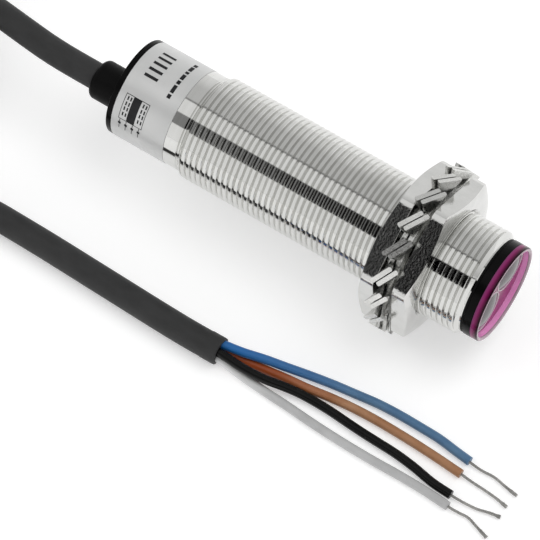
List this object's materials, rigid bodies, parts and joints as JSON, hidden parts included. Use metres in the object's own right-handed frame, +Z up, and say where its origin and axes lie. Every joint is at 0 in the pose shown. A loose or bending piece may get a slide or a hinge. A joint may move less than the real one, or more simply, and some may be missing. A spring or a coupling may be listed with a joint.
{
  "type": "photoelectric sensor",
  "caption": "Cylindrical M18 photoelectric sensor with a threaded barrel, lock nuts, toothed washers, a magenta lens front and a tied cable with stripped ends.",
  "frame": {"origin": "on the supporting surface, under the middle of the sensor from the gland's end to the lens rim, cable left out", "axes": "+X along the barrel from the cable end towards the lenses, +Z up from the surface, +Y completes a right-handed frame"},
  "size_m": [0.2138, 0.0552, 0.0288],
  "materials": {
    "nickel": "bright nickel plate on brass",
    "zinc": "bright zinc plate on spring steel",
    "label": "silver-grey satin film",
    "blackPlastic": "black moulded plastic, satin",
    "rubber": "matte black",
    "jacket": "dark grey matte flexible PVC",
    "magenta": "transparent magenta plastic, polished",
    "clear": "clear moulded plastic, polished",
    "amber": "tinted epoxy",
    "board": "green solder resist",
    "chip": "black moulded package",
    "brass": "turned brass",
    "blue": "blue core insulation",
    "brown": "brown core insulation",
    "black": "black core insulation",
    "white": "white core insulation",
    "tinned": "tinned copper strands"
  },
  "bodies": {
    "sensor": {"barrel": "nickel", "label": "label", "rear_cap": "blackPlastic", "rear_seal_ring": "rubber", "cable_gland": "rubber", "trimmer_body": "chip", "indicator_lens": "clear", "indicator_led": "amber", "circuit_board": "board", "output_transistor": "chip", "voltage_regulator": "chip", "controller_chip": "chip", "supply_capacitor": "chip", "inner_lead_1": "brown", "inner_lead_2": "white", "inner_lead_3": "blue", "inner_lead_4": "black", "optic_holder": "blackPlastic", "front_window": "magenta", "front_gasket": "rubber", "emitter_lens": "clear", "receiver_lens": "clear", "emitter_led": "clear", "receiver_diode": "chip", "cable_start": "jacket", "cable_hank": "jacket", "cable_tie_1": "blackPlastic", "cable_tie_2": "blackPlastic", "cable_end": "jacket", "core_blue": "blue", "strands_blue": "tinned", "core_brown": "brown", "strands_brown": "tinned", "core_black": "black", "strands_black": "tinned", "core_white": "white", "strands_white": "tinned"},
    "rear_washer": {"rear_washer": "zinc"},
    "rear_nut": {"rear_nut": "nickel"},
    "front_washer": {"front_washer": "zinc"},
    "front_nut": {"front_nut": "nickel"},
    "trimmer_rotor": {"trimmer_rotor": "brass"}
  },
  "joints": [
    {"name": "rear_nut_travel", "type": "slide", "parent": "sensor", "child": "rear_washer", "axis": [1, 0, 0], "range_m": [-0.0355, 0]},
    {"name": "rear_nut_turn", "type": "hinge", "parent": "rear_washer", "child": "rear_nut", "pos_m": [0.0197, 0, 0.0144], "axis": [1, 0, 0], "range_deg": [-12780, 0]},
    {"name": "front_nut_travel", "type": "slide", "parent": "sensor", "child": "front_washer", "axis": [1, 0, 0], "range_m": [0, 0.0065]},
    {"name": "front_nut_turn", "type": "hinge", "parent": "front_washer", "child": "front_nut", "pos_m": [0.0259, 0, 0.0144], "axis": [1, 0, 0], "range_deg": [0, 2340]},
    {"name": "sensitivity_trim", "type": "hinge", "parent": "sensor", "child": "trimmer_rotor", "pos_m": [-0.0269, 0.0047, 0.0156], "axis": [-1, 0, 0], "range_deg": [-135, 135]}
  ],
  "couplings": [
    {"joint": "rear_nut_turn", "follows": "rear_nut_travel", "rad_per_m": 6283.2},
    {"joint": "front_nut_turn", "follows": "front_nut_travel", "rad_per_m": 6283.2}
  ]
}
